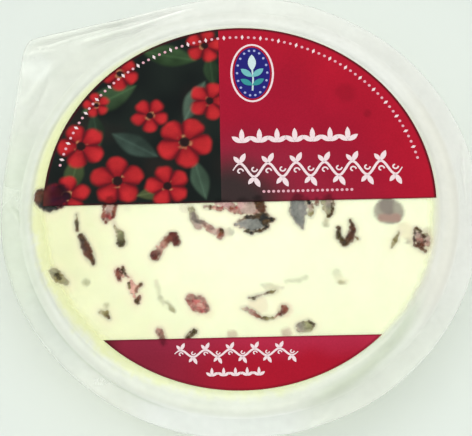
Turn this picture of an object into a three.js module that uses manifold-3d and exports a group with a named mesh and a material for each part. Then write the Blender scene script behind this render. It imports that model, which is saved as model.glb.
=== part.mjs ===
// A round of white cheese with dried fruit, sealed in a clear formed pack that lies on its base.
// Millimetres. The origin is the centre of the flat base, +Z is up, and the two printed fields
// face up, with the straight edge of the larger one along X.
import * as THREE from 'three';
import { mergeVertices } from 'three/addons/utils/BufferGeometryUtils.js';
import Module from 'manifold-3d';

const wasm = await Module();
wasm.setup();

// ---- Driving dimensions ----

// The cup of film drawn tight round the cheese
const CUP_RADIUS = 47.3;
const TOP_LEVEL = 20.5; // of the film over the cheese
const SHOULDER_ROUNDING = 1.4;
const FOOT_ROUNDING = 6.5;
const FOOT_RADIUS = 39; // of the flat that rests on the table
const CUP_DRAFT = 0.6; // by which the cup narrows from the flange to its foot
const TOP_UNEVENNESS = 0.12; // of the pressed curd under the film

// The print and the flange share a centre that is a little off the cup's axis
const PRINT_CENTRE = new THREE.Vector2(0.8, 0.7);

// The skirt of film that hangs from the shoulder to the flange, and the one that rises to it below
const SKIRT_RADIUS = 50.8; // of the skirt's foot, where the seal starts
const SKIRT_TOP = TOP_LEVEL - SHOULDER_ROUNDING - 0.3;
const SKIRT_STEEPNESS = 2; // power of its curve, which flattens towards the flange
const UNDERSKIRT_DROP = 2.4;

// The sealed flange: two layers of film, cut as a circle with one peel corner
const FLANGE_LEVEL = 17.8; // of its upper face, where the seal starts
const FLANGE_THICKNESS = 0.8;
const FLANGE_RADIUS = 55.2;
const FLANGE_SAG = 0.5; // of its free edge
const FLANGE_WAVE = 0.35;
const FLANGE_WAVES = 7; // round the edge
const PEEL_ANGLE = THREE.MathUtils.degToRad(139); // of the corner, from +X
const PEEL_REACH = 67; // of the corner, from the flange's centre
const PEEL_BLUNTNESS = 0.03; // radians over which the corner is rounded
const PEEL_LIFT = 2.0; // of the corner's tip
const PEEL_CREASE = 0.5; // height of the fold that runs beside the corner's far edge

// The printed fields, as plates on the film
const PRINT_RADIUS = 45;
const PRINT_THICKNESS = 0.2;
const PRINT_GAP = 0.3; // between a plate and the film
const UPPER_FIELD = { chord: 0.1, behind: true }; // chord: how far its straight edge is behind the
const LOWER_FIELD = { chord: -32.6, behind: false }; // print's centre
const PRINT_ARC_STEPS = 72;

// The net that the pack's surface is made of
const SECTORS = 108;
const TOP_RINGS = [6, 12, 18, 24, 29, 33.5, 38, 42, CUP_RADIUS - SHOULDER_ROUNDING];
const SHOULDER_STEPS = 3;
const SKIRT_STEPS = 3;
const FLANGE_STEPS = 3;
const FOOT_STEPS = 5;
const FOOT_RINGS = [FOOT_RADIUS * 0.66, FOOT_RADIUS * 0.33];

// Dried fruit that the film is drawn over: x and y of the middle of each piece, from the print's
// centre, its length and width, its turn in degrees from +X, and how far its middle bows out to its
// left.
const FRUIT_RELIEF = 0.45; // above the film
const FRUIT_DEPTH = 0.9; // to which a lump is sunk, so that its rim is steep
const LUMP_SECTORS = 10;
const LUMP_BANDS = 6;
const BENT_LUMPS = 4; // in a bent piece
const LUMP_OVERLAP = 1.7; // of its lumps
const FRUIT = [
  { x: -43.0, y: 2.2, length: 7.6, width: 6.4, turn: 20, bend: 0 },
  { x: -30.6, y: -2.6, length: 5.2, width: 3.4, turn: 80, bend: 0 },
  { x: -27.8, y: -8.2, length: 3.8, width: 2.3, turn: 110, bend: 0 },
  { x: -37.4, y: -4.0, length: 4.0, width: 1.2, turn: 105, bend: 0 },
  { x: -35.4, y: -10.5, length: 8.0, width: 2.1, turn: 117, bend: 0.4 },
  { x: -41.0, y: -17.4, length: 4.8, width: 2.8, turn: 150, bend: 0 },
  { x: -17.6, y: -9.8, length: 7.4, width: 2.4, turn: 38, bend: -1.1 },
  { x: -27.2, y: -17.3, length: 3.6, width: 3.0, turn: 140, bend: 0 },
  { x: -24.4, y: -20.8, length: 5.2, width: 2.4, turn: 100, bend: 0.5 },
  { x: -30.6, y: -24.6, length: 3.2, width: 2.0, turn: 130, bend: 0 },
  { x: -10.7, y: -23.8, length: 5.4, width: 4.0, turn: 150, bend: 0 },
  { x: -8.8, y: -5.0, length: 8.8, width: 1.9, turn: 140, bend: 0.9 },
  { x: -3.4, y: -2.4, length: 7.6, width: 3.0, turn: 172, bend: 0 },
  { x: 3.4, y: -4.4, length: 8.2, width: 4.8, turn: 12, bend: 0 },
  { x: 13.2, y: -3.4, length: 6.4, width: 4.4, turn: 100, bend: 0 },
  { x: 20.2, y: -3.8, length: 6.0, width: 2.2, turn: 82, bend: 0.4 },
  { x: 24.0, y: -8.4, length: 6.4, width: 3.4, turn: 78, bend: 0 },
  { x: 34.2, y: -3.7, length: 6.6, width: 5.6, turn: 170, bend: 0 },
  { x: 41.0, y: -10.2, length: 5.8, width: 4.0, turn: 96, bend: 0 },
  { x: 5.2, y: -22.2, length: 6.2, width: 1.1, turn: 22, bend: 0 },
  { x: 4.4, y: -27.4, length: 8.4, width: 1.4, turn: 172, bend: -1.6 },
  { x: 9.0, y: -26.2, length: 2.8, width: 2.2, turn: 60, bend: 0 },
  { x: 14.0, y: -30.0, length: 4.4, width: 2.9, turn: 15, bend: 0 },
];

// ---- Shapes ----

const fullTurn = 2 * Math.PI;

// How far the flange reaches from its centre in a direction: a circle, with the corner where two of
// its tangents meet.
function flangeReach(angle) {
  const halfCorner = Math.acos(FLANGE_RADIUS / PEEL_REACH);
  const fromTip = Math.atan2(Math.sin(angle - PEEL_ANGLE), Math.cos(angle - PEEL_ANGLE));
  const blunted = Math.hypot(fromTip, PEEL_BLUNTNESS);
  if (blunted > halfCorner) return FLANGE_RADIUS;
  return FLANGE_RADIUS / Math.cos(halfCorner - blunted);
}

// Level of the flange's upper face, reach from its centre. outward runs from 0 where the seal
// starts to 1 at the free edge.
function flangeLevel(angle, reach, outward) {
  const sag = -FLANGE_SAG * outward * outward;
  const wave = FLANGE_WAVE * outward * Math.sin(FLANGE_WAVES * angle + 0.8) * Math.cos(2 * angle);
  const peel = Math.max(0, reach - FLANGE_RADIUS) / (PEEL_REACH - FLANGE_RADIUS);
  const crease = PEEL_CREASE * Math.sin(Math.PI * peel) * Math.sin(3 * (angle - PEEL_ANGLE) + 1.2);
  return FLANGE_LEVEL + sag + wave + PEEL_LIFT * peel * peel + crease;
}

// Level of the film over the cheese, which shows the pressed curd's slight unevenness
function topLevel(x, y) {
  const broad = Math.sin(x / 9 + 0.7) * Math.cos(y / 11 - 0.4);
  const small = 0.5 * Math.sin(x / 4.3 - y / 5.1);
  return TOP_LEVEL - TOP_UNEVENNESS * (1 + (broad + small) / 1.5) * 0.5;
}

// A ring of points, one for each sector, from the peel corner on. place gives x, y and z for an
// angle.
function ring(place) {
  return Array.from({ length: SECTORS }, (_, i) => place(PEEL_ANGLE + (i / SECTORS) * fullTurn));
}

// A ring round the cup's axis
function cupRing(radius, level) {
  return ring((angle) => {
    const x = radius * Math.cos(angle);
    const y = radius * Math.sin(angle);
    return [x, y, typeof level === 'function' ? level(x, y) : level];
  });
}

// A ring on the flange's upper face, or as far below it as drop says
function flangeRing(outward, drop) {
  return ring((angle) => {
    const reach = THREE.MathUtils.lerp(SKIRT_RADIUS, flangeReach(angle), outward);
    const x = PRINT_CENTRE.x + reach * Math.cos(angle);
    const y = PRINT_CENTRE.y + reach * Math.sin(angle);
    return [x, y, flangeLevel(angle, reach, outward) - drop];
  });
}

// A ring on the skirt between the cup and the flange. outward runs from 0 at the cup to 1 where the
// seal starts, and at the cup the skirt is at cupLevel.
function skirtRing(outward, cupLevel, drop) {
  return ring((angle) => {
    const fromCup = [CUP_RADIUS * Math.cos(angle), CUP_RADIUS * Math.sin(angle)];
    const x = PRINT_CENTRE.x + SKIRT_RADIUS * Math.cos(angle);
    const y = PRINT_CENTRE.y + SKIRT_RADIUS * Math.sin(angle);
    const foot = flangeLevel(angle, SKIRT_RADIUS, 0) - drop;
    return [
      THREE.MathUtils.lerp(fromCup[0], x, outward),
      THREE.MathUtils.lerp(fromCup[1], y, outward),
      THREE.MathUtils.lerp(foot, cupLevel, (1 - outward) ** SKIRT_STEEPNESS),
    ];
  });
}

// A closed skin from the middle of the top, over the rings in turn, to the middle of the foot
function skinOver(rings, topZ, footZ) {
  const points = [[0, 0, topZ], ...rings.flat(), [0, 0, footZ]];
  const last = points.length - 1;
  const faces = [];
  for (let i = 0; i < SECTORS; i += 1) {
    const next = (i + 1) % SECTORS;
    faces.push([0, 1 + i, 1 + next]);
    for (let k = 0; k + 1 < rings.length; k += 1) {
      const here = 1 + k * SECTORS;
      const below = here + SECTORS;
      faces.push([here + i, below + i, below + next], [here + i, below + next, here + next]);
    }
    const foot = last - SECTORS;
    faces.push([foot + i, last, foot + next]);
  }
  const geometry = new THREE.BufferGeometry();
  geometry.setAttribute('position', new THREE.Float32BufferAttribute(points.flat(), 3));
  geometry.setIndex(faces.flat());
  return geometry;
}

// The cup, skirt and flange, with a smooth top
function packSkin() {
  const rings = TOP_RINGS.map((radius) => cupRing(radius, topLevel));
  const flat = CUP_RADIUS - SHOULDER_ROUNDING;
  for (let i = 1; i <= SHOULDER_STEPS; i += 1) {
    const lean = (i / SHOULDER_STEPS) * (Math.PI / 2);
    const drop = SHOULDER_ROUNDING * (1 - Math.cos(lean));
    rings.push(cupRing(flat + SHOULDER_ROUNDING * Math.sin(lean), (x, y) => topLevel(x, y) - drop));
  }
  for (let i = 0; i < SKIRT_STEPS; i += 1) rings.push(skirtRing(i / SKIRT_STEPS, SKIRT_TOP, 0));
  for (let i = 0; i <= FLANGE_STEPS; i += 1) rings.push(flangeRing(i / FLANGE_STEPS, 0));
  for (let i = FLANGE_STEPS; i >= 0; i -= 1) {
    rings.push(flangeRing(i / FLANGE_STEPS, FLANGE_THICKNESS));
  }
  const wallTop = FLANGE_LEVEL - FLANGE_THICKNESS - UNDERSKIRT_DROP;
  for (let i = SKIRT_STEPS - 1; i >= 0; i -= 1) {
    rings.push(skirtRing(i / SKIRT_STEPS, wallTop, FLANGE_THICKNESS));
  }
  const wallFoot = CUP_RADIUS - CUP_DRAFT;
  for (let i = 0; i <= FOOT_STEPS; i += 1) {
    const lean = (i / FOOT_STEPS) * (Math.PI / 2);
    const radius = FOOT_RADIUS + (wallFoot - FOOT_RADIUS) * Math.cos(lean);
    rings.push(cupRing(radius, FOOT_ROUNDING * (1 - Math.sin(lean))));
  }
  FOOT_RINGS.forEach((radius) => rings.push(cupRing(radius, 0)));
  return skinOver(rings, topLevel(0, 0), 0);
}

// The lumps of one piece of fruit: one flattened ball, or several in a row along a bent piece
function fruitLumps({ x, y, length, width, turn, bend }) {
  const count = bend === 0 ? 1 : BENT_LUMPS;
  const reach = bend === 0 ? length : (length / count) * LUMP_OVERLAP;
  const spread = length - reach;
  return Array.from({ length: count }, (_, i) => {
    const share = count > 1 ? i / (count - 1) - 0.5 : 0;
    const middle = new THREE.Vector2(share * spread, bend * (1 - 4 * share * share));
    const lean = Math.atan2(-8 * bend * share, length);
    const lump = new THREE.SphereGeometry(1, LUMP_SECTORS, LUMP_BANDS);
    lump.rotateX(Math.PI / 2);
    lump.scale(reach / 2, width / 2, FRUIT_RELIEF + FRUIT_DEPTH);
    lump.rotateZ(lean);
    lump.translate(middle.x, middle.y, 0);
    lump.rotateZ(THREE.MathUtils.degToRad(turn));
    lump.translate(PRINT_CENTRE.x + x, PRINT_CENTRE.y + y, TOP_LEVEL - FRUIT_DEPTH);
    return lump;
  });
}

// A flat plate with the outline that a chord cuts off the print's circle, behind the chord or in
// front of it. margin widens it all round.
function segmentPlate({ chord, behind }, level, thickness, margin) {
  const radius = PRINT_RADIUS + margin;
  const start = Math.asin((chord + (behind ? -margin : margin)) / radius);
  const outline = new THREE.Shape();
  if (behind) outline.absarc(0, 0, radius, start, Math.PI - start, false);
  else outline.absarc(0, 0, radius, Math.PI - start, fullTurn + start, false);
  outline.closePath();
  const plate = new THREE.ExtrudeGeometry(outline, {
    depth: thickness,
    bevelEnabled: false,
    curveSegments: PRINT_ARC_STEPS,
  });
  plate.translate(PRINT_CENTRE.x, PRINT_CENTRE.y, level);
  return plate;
}

// ---- Solids ----

function toSolid(geometry) {
  const bare = geometry.clone();
  bare.deleteAttribute('normal');
  bare.deleteAttribute('uv');
  const merged = mergeVertices(bare, 1e-4);
  return new wasm.Manifold(
    new wasm.Mesh({
      numProp: 3,
      vertProperties: new Float32Array(merged.attributes.position.array),
      triVerts: new Uint32Array(merged.index.array),
    })
  );
}

function toGeometry(solid) {
  const mesh = solid.getMesh();
  const geometry = new THREE.BufferGeometry();
  geometry.setAttribute('position', new THREE.Float32BufferAttribute(mesh.vertProperties, 3));
  geometry.setIndex(Array.from(mesh.triVerts));
  geometry.computeVertexNormals();
  return geometry;
}

// The pack with the fruit's relief fused on, which stays flush with the film under the print
function sealedPack() {
  const [first, ...others] = FRUIT.flatMap(fruitLumps).map(toSolid);
  const fruit = others.reduce((solid, lump) => solid.add(lump), first);
  const flush = [UPPER_FIELD, LOWER_FIELD].reduce(
    (solid, field) => solid.subtract(toSolid(segmentPlate(field, TOP_LEVEL, 1, PRINT_GAP))),
    fruit
  );
  return toSolid(packSkin()).add(flush);
}

function printedField(field) {
  return toSolid(segmentPlate(field, TOP_LEVEL + PRINT_GAP, PRINT_THICKNESS, 0));
}

// ---- The part ----

const film = new THREE.MeshStandardMaterial({ color: 0xf7f5d4, roughness: 0.3, metalness: 0 });
const redPrint = new THREE.MeshStandardMaterial({ color: 0xa61733, roughness: 0.35, metalness: 0 });

function node(name, solid, material) {
  const mesh = new THREE.Mesh(toGeometry(solid), material);
  mesh.name = name;
  return mesh;
}

const part = new THREE.Group();
part.add(
  node('sealed_pack', sealedPack(), film),
  node('label_upper', printedField(UPPER_FIELD), redPrint),
  node('label_lower', printedField(LOWER_FIELD), redPrint)
);

export default part;
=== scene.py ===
"""A round of white cheese with dried fruit, sealed in a clear film pack with two printed fields.

Lengths are in millimetres until a mesh, light or camera is made. Tones are written in sRGB.
Fruit and print are placed from the print's centre, which is a little off the cup's axis: px and
py are places from that centre, x and y from the axis, and angles are round whichever is meant.
"""

import math

import bpy
import numpy as np
from mathutils import Matrix, Vector


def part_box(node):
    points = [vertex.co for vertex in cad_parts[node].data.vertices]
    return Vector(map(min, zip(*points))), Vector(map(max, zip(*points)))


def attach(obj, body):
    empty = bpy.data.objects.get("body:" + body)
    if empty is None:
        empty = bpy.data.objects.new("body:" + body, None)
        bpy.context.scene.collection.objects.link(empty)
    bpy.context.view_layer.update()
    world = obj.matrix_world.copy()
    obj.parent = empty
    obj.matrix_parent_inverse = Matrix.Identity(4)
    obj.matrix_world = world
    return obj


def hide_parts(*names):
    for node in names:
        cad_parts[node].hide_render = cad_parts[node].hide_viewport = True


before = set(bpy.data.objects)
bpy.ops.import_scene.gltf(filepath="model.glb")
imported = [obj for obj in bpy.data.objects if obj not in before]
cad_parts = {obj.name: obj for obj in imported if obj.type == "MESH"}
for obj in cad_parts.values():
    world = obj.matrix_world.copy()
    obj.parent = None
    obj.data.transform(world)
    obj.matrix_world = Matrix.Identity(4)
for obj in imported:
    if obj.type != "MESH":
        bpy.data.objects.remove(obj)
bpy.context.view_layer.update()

MM = 0.001
PI = math.pi
scene = bpy.context.scene
scene.view_settings.view_transform = "Standard"


# ---- Sizes from the frame ----

def node_box(name):
    """Lowest and highest corner of a node, in mm."""
    return np.array(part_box(name)) / MM


UPPER_LOW, UPPER_HIGH = node_box("label_upper")
LOWER_HIGH = node_box("label_lower")[1]
PRINT_RADIUS = (UPPER_HIGH[0] - UPPER_LOW[0]) / 2
CENTRE = np.array([(UPPER_HIGH[0] + UPPER_LOW[0]) / 2, UPPER_HIGH[1] - PRINT_RADIUS])
UPPER_CHORD = UPPER_LOW[1] - CENTRE[1]
LOWER_CHORD = LOWER_HIGH[1] - CENTRE[1]
PLATE_GAP = 0.3  # between the film and the solid plates of the print
TOP_LEVEL = UPPER_LOW[2] - PLATE_GAP

# ---- The pack's other sizes, as in the solid ----

CUP_RADIUS = 47.3
CUP_DRAFT = 0.6
WALL_RADIUS = CUP_RADIUS - CUP_DRAFT  # just over the foot
SHOULDER_ROUNDING = 1.4
FLAT_RADIUS = CUP_RADIUS - SHOULDER_ROUNDING
FOOT_ROUNDING = 6.5
FOOT_RADIUS = 39
TOP_UNEVENNESS = 0.12
SKIRT_RADIUS = 50.8
SKIRT_LEAN = math.radians(45)  # of the shoulder where the film leaves it for the skirt
SKIRT_STEEPNESS = 2
WALL_TOP = 14.6
FLANGE_LEVEL = 17.8
FLANGE_RADIUS = 55.15
FLANGE_SAG = 0.5
FLANGE_WAVE = 0.35
FLANGE_WAVES = 7
PEEL_ANGLE = math.radians(139)
PEEL_REACH = 66.9
PEEL_BLUNTNESS = 0.03
PEEL_LIFT = 2.0
PEEL_CREASE = 0.5

FILM = 0.1  # thickness of one layer
CHEESE_INSET = FILM + 0.06  # from the film's outer face to the cheese
FRUIT_RELIEF = 0.2  # by which a firm piece of fruit lifts the film
INK = 0.02  # thickness of the print
LIFT = 0.03  # of one layer of print over the one below


# ---- Colour ----

def linear(rgb):
    """sRGB 0 to 255 to linear 0 to 1."""
    c = np.asarray(rgb, float) / 255
    return np.where(c <= 0.04045, c / 12.92, ((c + 0.055) / 1.055) ** 2.4)


def smooth(low, high, value):
    """0 below low, 1 above high, and a smooth step between."""
    t = np.clip((np.asarray(value, float) - low) / (high - low), 0, 1)
    return t * t * (3 - 2 * t)


def blend(a, b, share):
    """From a to b by the share at each place."""
    return a + (b - a) * np.asarray(share)[..., None]


def tinge(tint, rgb, share):
    """The tint, blended with an sRGB tone by the share at each place."""
    return blend(tint, linear(rgb), share)


def scaled(tint, factor):
    return tint * np.asarray(factor)[..., None]


FILM_VEIL = 0.02  # brightness that the film's sheen lays over what is under it
FRUIT_SHADE = 0.92  # of the fruit's tones, as the light on them is a little over 1
DARKEST = 0.004
TONES = {name: np.maximum(linear(rgb) - FILM_VEIL, DARKEST) * FRUIT_SHADE for name, rgb in {
    "black": (44, 32, 30), "wine": (74, 28, 44), "maroon": (96, 46, 40),
    "brown": (88, 54, 34), "bark": (82, 62, 38), "red_brown": (134, 76, 62),
    "dusky": (164, 120, 110), "rose": (156, 70, 70), "pink": (206, 150, 138),
    "salmon": (196, 110, 106), "mauve": (176, 152, 142), "ash": (150, 142, 128),
    "slate": (124, 124, 120), "grey": (136, 133, 129), "moss": (140, 138, 102),
    "stone": (154, 150, 120), "olive": (126, 116, 74), "dark_olive": (72, 64, 38),
    "tan": (214, 196, 160), "peach": (240, 222, 196), "lilac": (190, 150, 148),
    "smoke": (126, 113, 106),
}.items()}


LATTICE_SIZE = 128
LATTICE = np.random.RandomState(5).rand(LATTICE_SIZE, LATTICE_SIZE) * 2 - 1


def noise(x, y, size, seed=0):
    """Smooth noise from -1 to 1, with lumps about that size across."""
    u, v = np.asarray(x, float) / size + seed * 7.31, np.asarray(y, float) / size - seed * 3.77
    i, j = np.floor(u).astype(int), np.floor(v).astype(int)
    fu, fv = smooth(0, 1, u - i), smooth(0, 1, v - j)

    def corner(a, b):
        return LATTICE[(i + a) % LATTICE_SIZE, (j + b) % LATTICE_SIZE]

    near = corner(0, 0) * (1 - fu) + corner(1, 0) * fu
    far = corner(0, 1) * (1 - fu) + corner(1, 1) * fu
    return near * (1 - fv) + far * fv


# ---- Dried fruit, as strokes of round dabs ----

def read_strokes(text):
    """Pairs of a share and a stroke, from lines such as "0.5: x y radius tone, x y radius tone".

    A line that ends with a comma runs on, and a line without a share has 1.
    """
    strokes = []
    for line in text.strip().replace(",\n", ",").split("\n"):
        share, _, dabs = line.rpartition(":")
        words = [dab.split() for dab in dabs.split(",")]
        stroke = [(float(x), float(y), float(radius), tone) for x, y, radius, tone in words]
        strokes.append((float(share or 1), stroke))
    return strokes


# Pieces that lie at the surface
FIRM = [stroke for _, stroke in read_strokes("""
-45.3 2.4 2.2 brown, -44.5 1.6 2.3 black, -43.4 1.6 2.9 black, -42.4 2.4 3.2 wine,
-41.2 3.6 2 black
-29.7 1.2 1.3 dusky, -29.9 -1 1.2 mauve, -30.2 -2.6 1.5 dusky
-30.3 -2.6 0.7 rose, -29.8 -2.9 0.6 rose
-30.9 0.9 0.45 maroon, -31.1 -1.3 0.4 red_brown, -31.2 -2.8 0.4 red_brown
-28.4 0.6 0.45 maroon, -28.7 -1.5 0.4 red_brown, -29 -2.9 0.45 maroon
-31.1 -3.6 0.4 maroon, -30.6 -4.1 0.4 maroon
-28.8 -4.3 0.25 olive, -28.4 -5.6 0.28 stone, -27.4 -7.1 0.9 moss, -27.1 -9.1 1.15 dark_olive
-37.3 -1.9 0.15 olive, -37.3 -4.1 0.45 dark_olive, -37.1 -5.9 0.4 bark
-36.2 -7.4 0.75 bark, -35.3 -10 1.15 brown, -34.2 -12.4 1.05 brown, -33.4 -14.2 0.45 bark
-42.3 -16.1 1.1 stone, -41.3 -17.3 1.3 olive, -39.3 -18.7 0.55 stone
-41.6 -16.9 0.55 dark_olive, -40.9 -17.6 0.45 dark_olive
-19.4 -12.6 1.25 maroon, -18.2 -10.7 0.95 dusky, -16.9 -9 0.95 red_brown, -15.4 -8 1.3 maroon,
-14.6 -9.4 0.95 maroon
-27 -16.3 0.8 pink, -26.9 -17.3 0.5 pink
-27.9 -15.9 0.75 maroon, -27.8 -16.9 0.7 red_brown, -27.4 -18.1 0.6 maroon
-26.8 -15.2 0.35 bark, -26.3 -17.1 0.4 bark, -25.1 -17.8 0.3 dusky
-25 -18.6 0.5 pink, -24.4 -20 0.9 pink, -24.3 -21.4 0.65 pink, -24 -22.4 0.4 pink
-25.3 -18.9 0.3 bark, -25.3 -20.2 0.35 olive
-22.7 -19.6 0.5 bark, -23.4 -20 0.45 red_brown, -23.8 -21.3 0.45 red_brown
-22.9 -22.1 0.4 red_brown, -23.5 -23.4 0.75 bark
-11.5 -23.1 1.15 dusky, -10 -24.2 1.95 dusky, -8.6 -25.3 1.35 dusky
-11.6 -23.9 0.7 rose, -10.6 -24.6 1.25 salmon, -9.2 -25.3 1.15 salmon
-9.4 -24.7 0.45 pink, -8.6 -25.3 0.4 pink
-10.9 -25.6 0.4 rose, -9.6 -26.3 0.4 rose
-31.7 -25.8 0.45 stone, -30.6 -26.2 0.75 olive, -29.8 -27.4 0.4 bark
-18.5 -30.7 0.9 dusky, -17.9 -32 0.7 red_brown, -17.7 -33.6 0.7 maroon
-12.2 -32.2 0.6 bark, -10.8 -31 0.75 dark_olive
-11.1 -1.3 0.7 stone, -10.5 -3.5 0.95 ash, -9.5 -5.6 0.85 mauve
-10.7 -2.4 0.4 smoke, -10.1 -4.2 0.45 smoke
-9 -4.4 0.6 smoke, -7.4 -5.9 0.75 dusky, -5.6 -7.1 0.8 mauve
-4.6 -6.9 0.85 dusky, -4.6 -8.2 0.8 dusky
-4.3 -6.8 0.5 bark, -4.8 -8 0.45 red_brown
-7.9 -0.8 0.5 mauve, -6.7 -0.9 0.55 bark, -5.7 -1.1 0.4 pink
-4.9 0.3 0.9 lilac, -2.7 -0.4 1.2 lilac, -1.3 -1.5 1.15 dusky, 0.4 -1.6 1.2 dusky
-1.9 -1.3 0.55 red_brown, -0.9 -1.4 0.45 rose
-5 -1.3 0.55 rose, -4.2 -1.5 0.5 rose
3.2 -0.8 1.5 dusky, 3.6 -2.2 1.2 dusky
0.7 -0.1 1.5 lilac, 1.8 -1 1.75 mauve, 2.4 -1.6 1.4 mauve
4.1 0.6 1.2 bark, 5.1 -2 1.15 brown
-1.1 -5.4 0.3 grey, 0.6 -5.2 1.2 grey, 2.5 -5.4 1.8 slate, 4.3 -5.3 1.75 slate
-0.4 -4.8 0.35 ash, 0.4 -4.2 0.45 bark, 1.6 -3.6 0.5 black, 3.8 -3.4 0.65 bark, 5.6 -3.6 1.2 bark
5.7 -4.4 1.35 black, 7 -4.4 0.75 black, 7.7 -4.3 0.3 dark_olive
5.9 -4.9 0.9 bark, 5.9 -6.1 0.7 black, 4.6 -7 0.45 bark, 2.5 -7.5 0.5 black,
1.2 -7 0.35 dark_olive
13.4 0.6 1.6 slate, 13.2 -2.5 1.95 slate, 13.5 -4.8 1.15 slate, 14.1 -6.6 0.35 grey
14.4 -1.6 1.1 grey, 14.4 -2.9 0.9 grey
16.3 -1.2 0.75 mauve, 16.1 -3.2 0.65 stone
16.5 -1 0.3 bark, 16.9 -2.2 0.25 olive, 16.2 -3.7 0.35 olive
15.6 0.6 0.6 black, 15.9 -0.4 0.45 black
17.6 0.5 0.4 dusky, 17.6 -1.1 0.45 bark
20.2 0.6 1.25 mauve, 20.2 -1.4 1.15 ash, 20.3 -2.8 0.75 stone
19.1 0.2 0.5 stone, 19.4 -2.3 0.45 stone, 19.9 -3.3 0.4 olive
21.4 0.4 0.4 bark, 21.3 -1.6 0.35 dark_olive, 20.9 -3.2 0.4 bark, 20 -3.9 0.5 dark_olive
22.3 -6.8 0.5 bark, 22.3 -8.9 0.75 dark_olive, 23.6 -10.4 0.95 bark, 25.1 -9.1 1.05 brown,
25.6 -7.1 0.85 brown, 25.1 -5 0.35 bark
25.9 -9 0.35 brown, 26.6 -9.5 0.25 olive
40.3 -8.8 1 mauve, 40.7 -9.9 1.3 dusky, 40.9 -11.1 1.25 brown
41.7 -9 0.8 stone, 42.3 -10 0.9 mauve, 42.2 -11.2 0.7 dusky
39.7 -7.2 0.35 bark, 39.4 -9.2 0.35 black, 39.4 -11.2 0.45 brown, 40.6 -12 0.7 brown,
41.8 -12.8 0.45 bark
39.9 -7.3 0.45 bark, 40.6 -7.9 0.5 dark_olive, 41.5 -9.1 0.45 brown, 41.8 -10.5 0.45 brown
35.9 -8.3 0.25 stone, 35 -10.2 0.5 olive, 34.2 -11.8 0.15 stone
1.6 -23.3 0.25 ash, 2.6 -23.4 0.5 dark_olive, 3.4 -22.9 0.28 ash, 5.3 -22.3 0.28 ash,
5.8 -22.1 0.4 bark, 6.7 -22 0.45 olive, 7.7 -21.7 0.25 olive
-0.1 -25.7 0.25 tan, 0.9 -25.8 0.5 mauve, 2.3 -26.7 0.6 dusky, 3.4 -27.5 0.5 red_brown,
4.3 -28.2 0.3 bark, 5.5 -28.2 0.5 olive, 6.3 -28.2 0.2 stone, 6.9 -28.1 0.3 olive,
7.6 -27.8 0.2 dusky, 8.5 -27.2 0.55 maroon, 9.3 -26.1 1 red_brown
13 -30.5 1.1 ash, 14.5 -30.2 1.35 moss
14.8 -29.1 0.4 dark_olive, 15.8 -30 0.45 dark_olive
""")]

# Pieces that a thin skin of cheese covers, with how strongly they show
VEILED = read_strokes("""
0.92: 33.6 -2.9 3 ash, 34.5 -3.1 2.9 ash
0.7: 32.4 -4.4 0.9 dusky, 35.6 -4.5 1 dusky
0.8: 33.8 -0.4 1.3 smoke, 33.5 -1.9 1.6 smoke, 34 -2.8 1 smoke
0.65: -35 -18.6 0.8 moss
0.35: -19.3 -18.9 0.5 mauve, -18.8 -20.3 0.4 stone, -18.4 -22.6 0.4 stone
0.45: -18.2 -22.9 0.5 stone, -17.5 -24 0.5 stone
0.75: -16.8 -24.1 0.4 stone, -15.8 -25.3 0.55 olive, -15.1 -26.1 0.25 olive
0.7: -30.4 -24.4 0.6 moss
0.5: -2.4 -32 1.1 dusky
0.55: 9.7 -31.6 1.1 dusky
0.4: 37.4 -7.4 1.7 tan, 38.4 -9.6 1.1 tan
0.85: 38 -10.3 0.6 ash
0.55: 42.6 -8.2 1 stone, 43 -9.8 1.1 tan, 42.4 -11.8 0.8 tan
0.35: 21.4 -17.6 0.8 stone, 22.1 -19.6 0.9 tan, 23.6 -19.8 0.5 tan
0.6: 22.1 -20 0.5 olive, 23 -20.1 0.3 stone
0.4: 10.1 -19.5 0.4 stone, 13 -19.3 0.45 stone, 14.4 -18.6 0.5 stone
0.4: 4.8 -20.3 0.5 ash, 7 -20.8 0.8 olive, 9.2 -21 0.3 ash
0.75: 19.7 -4.8 0.5 stone, 19.5 -5.8 0.7 stone
0.3: -12.6 -0.9 1.2 mauve
0.6: -3.4 -7.3 0.9 mauve, -2.4 -7.2 0.95 ash
0.25: 3.6 -25 2.2 pink
0.15: -25.6 -0.9 0.9 mauve
0.3: 9.6 -26.3 1.7 pink
0.25: -7.4 -26.9 1.2 tan
""")


def stroke_field(stroke, x, y):
    """How deep each place lies in a stroke, negative outside it, and the stroke's tone there."""
    depth = np.full(np.shape(x), -1e3)
    tone = np.zeros(np.shape(x) + (3,))
    ends = stroke if len(stroke) > 1 else stroke * 2
    for (ax, ay, ar, a_tone), (bx, by, br, b_tone) in zip(ends, ends[1:]):
        length = max((bx - ax) ** 2 + (by - ay) ** 2, 1e-9)
        t = np.clip(((x - ax) * (bx - ax) + (y - ay) * (by - ay)) / length, 0, 1)
        away = np.hypot(x - ax - t * (bx - ax), y - ay - t * (by - ay))
        here = ar + (br - ar) * t - away
        nearer = here > depth
        depth = np.where(nearer, here, depth)
        tone = np.where(nearer[..., None], blend(TONES[a_tone], TONES[b_tone], t), tone)
    return depth, tone


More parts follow.
